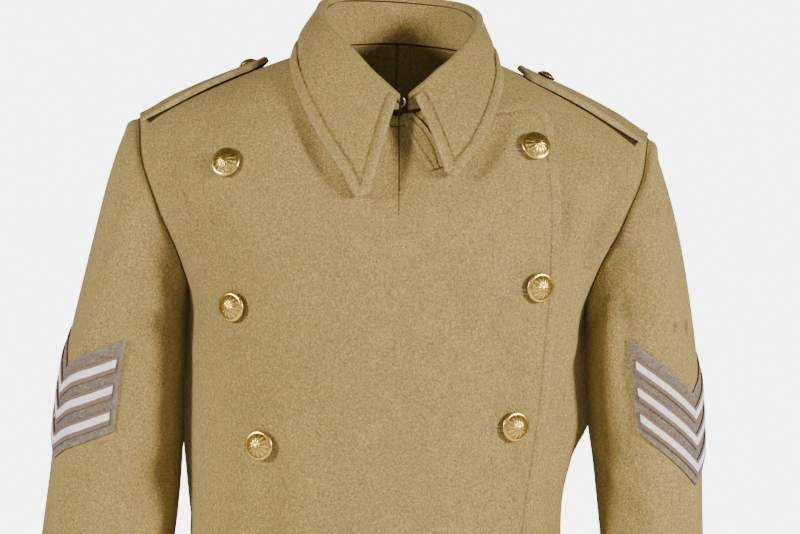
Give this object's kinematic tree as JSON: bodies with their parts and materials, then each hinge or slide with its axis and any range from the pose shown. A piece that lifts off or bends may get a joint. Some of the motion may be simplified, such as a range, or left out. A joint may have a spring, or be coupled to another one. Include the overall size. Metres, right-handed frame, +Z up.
{
  "type": "military greatcoat",
  "caption": "Long double-breasted military greatcoat of heavy khaki wool, worn shape, with turned-down collar, shoulder straps, chevrons and brass buttons.",
  "frame": {"origin": "middle of the neck, level with the two points where the collar meets the shoulder seams; the wearer's shoulders hold it there", "axes": "+Z up, front faces -Y, +X is the wearer's left"},
  "size_m": [0.626, 0.4496, 1.1781],
  "materials": {
    "khaki_wool": "matte",
    "brown_felt": "matte",
    "herringbone_tape": "matte",
    "gilt_brass": "polished",
    "steel_wire": "satin"
  },
  "bodies": {
    "root": {"front_left": "khaki_wool", "front_right": "khaki_wool", "back_left": "khaki_wool", "back_right": "khaki_wool", "sleeve_left": "khaki_wool", "sleeve_right": "khaki_wool", "collar_stand": "khaki_wool", "collar_fall": "khaki_wool", "shoulder_strap_left": "khaki_wool", "shoulder_strap_right": "khaki_wool", "throat_tab": "khaki_wool", "chevron_felt_left": "brown_felt", "chevron_tape_left_1": "herringbone_tape", "chevron_tape_left_2": "herringbone_tape", "chevron_tape_left_3": "herringbone_tape", "chevron_felt_right": "brown_felt", "chevron_tape_right_1": "herringbone_tape", "chevron_tape_right_2": "herringbone_tape", "chevron_tape_right_3": "herringbone_tape", "button_edge_1": "gilt_brass", "button_side_1": "gilt_brass", "button_edge_2": "gilt_brass", "button_side_2": "gilt_brass", "button_edge_3": "gilt_brass", "button_side_3": "gilt_brass", "button_edge_4": "gilt_brass", "button_side_4": "gilt_brass", "button_edge_5": "gilt_brass", "button_side_5": "gilt_brass", "button_strap_left": "gilt_brass", "button_strap_right": "gilt_brass", "throat_hook": "steel_wire"}
  },
  "joints": []
}
